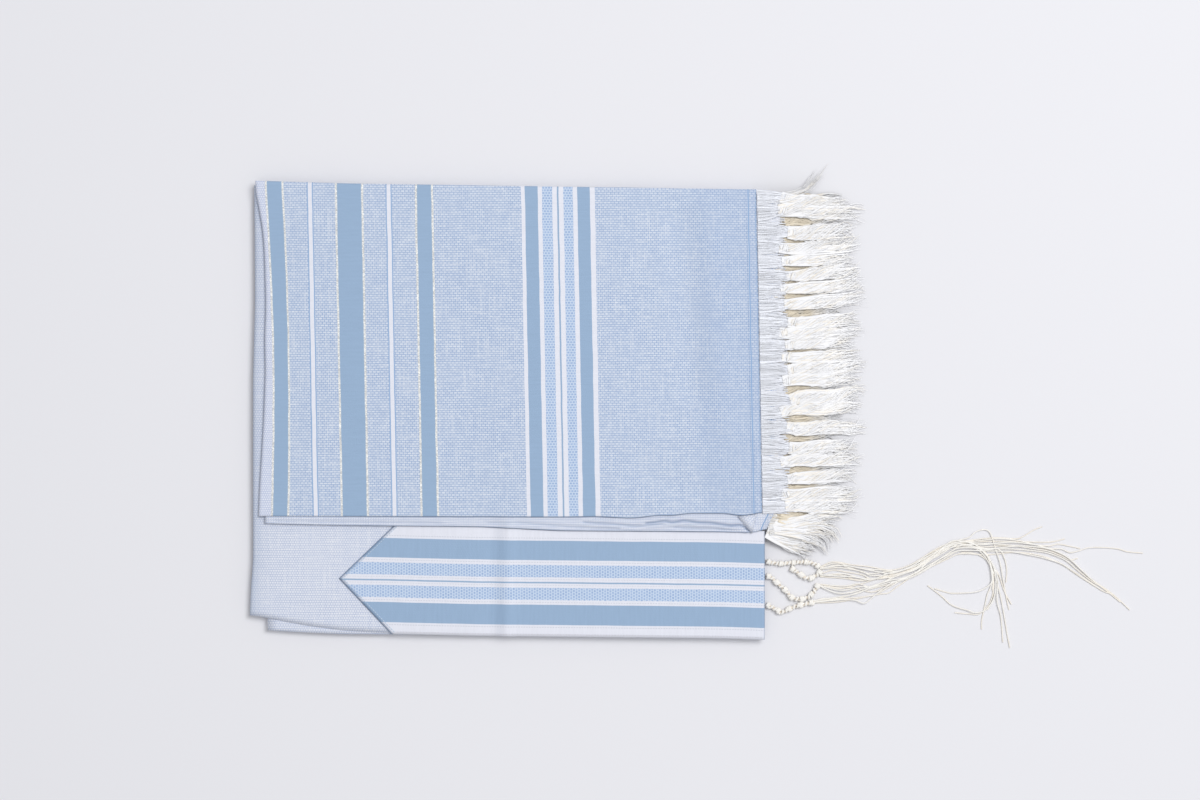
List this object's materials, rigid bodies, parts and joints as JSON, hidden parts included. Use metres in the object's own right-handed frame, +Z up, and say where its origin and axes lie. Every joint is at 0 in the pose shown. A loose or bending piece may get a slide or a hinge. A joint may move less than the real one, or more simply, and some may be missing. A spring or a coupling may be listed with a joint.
{
  "type": "folded tallit prayer shawl",
  "caption": "Striped woven prayer shawl folded flat, with a sewn neckband, a knotted fringe and corner tassel cords lying beside it.",
  "frame": {"origin": "under the middle of the folded shawl and its fringe, on the surface it lies on, the loose cords not counted", "axes": "+X along the folded block towards the fringe, +Y from the neck edge to the far fold, +Z up"},
  "size_m": [0.7546, 0.4107, 0.0136],
  "materials": {
    "shawl_face": "pale blue weave with staggered white floats, blue and white stripes and silver lines, matt",
    "shawl_reverse": "pale lavender-white reverse of the weave, matt",
    "neckband": "striped ribbon of blue, white and honeycomb bands, soft satin",
    "fringe": "loosely twisted white yarn, fuzzy",
    "tzitzit": "plied cream-white yarn, matt"
  },
  "bodies": {
    "root": {"folded_layers": "shawl_reverse", "under_layer": "shawl_reverse", "neck_panel": "shawl_reverse", "underfold": "shawl_reverse", "end_panel": "shawl_face", "neckband": "neckband", "end_fringe": "fringe", "underfold_fringe": "fringe", "tzitzit_wrap_1": "tzitzit", "tzitzit_wrap_2": "tzitzit", "tzitzit_wrap_3": "tzitzit", "tzitzit_wrap_4": "tzitzit", "tzitzit_strings_main": "tzitzit", "tzitzit_strings_fallen": "tzitzit", "tzitzit_string_curl_high": "tzitzit", "tzitzit_string_curl_low": "tzitzit", "tzitzit_string_right": "tzitzit", "tzitzit_string_up": "tzitzit", "tzitzit_string_loop": "tzitzit"}
  },
  "joints": []
}
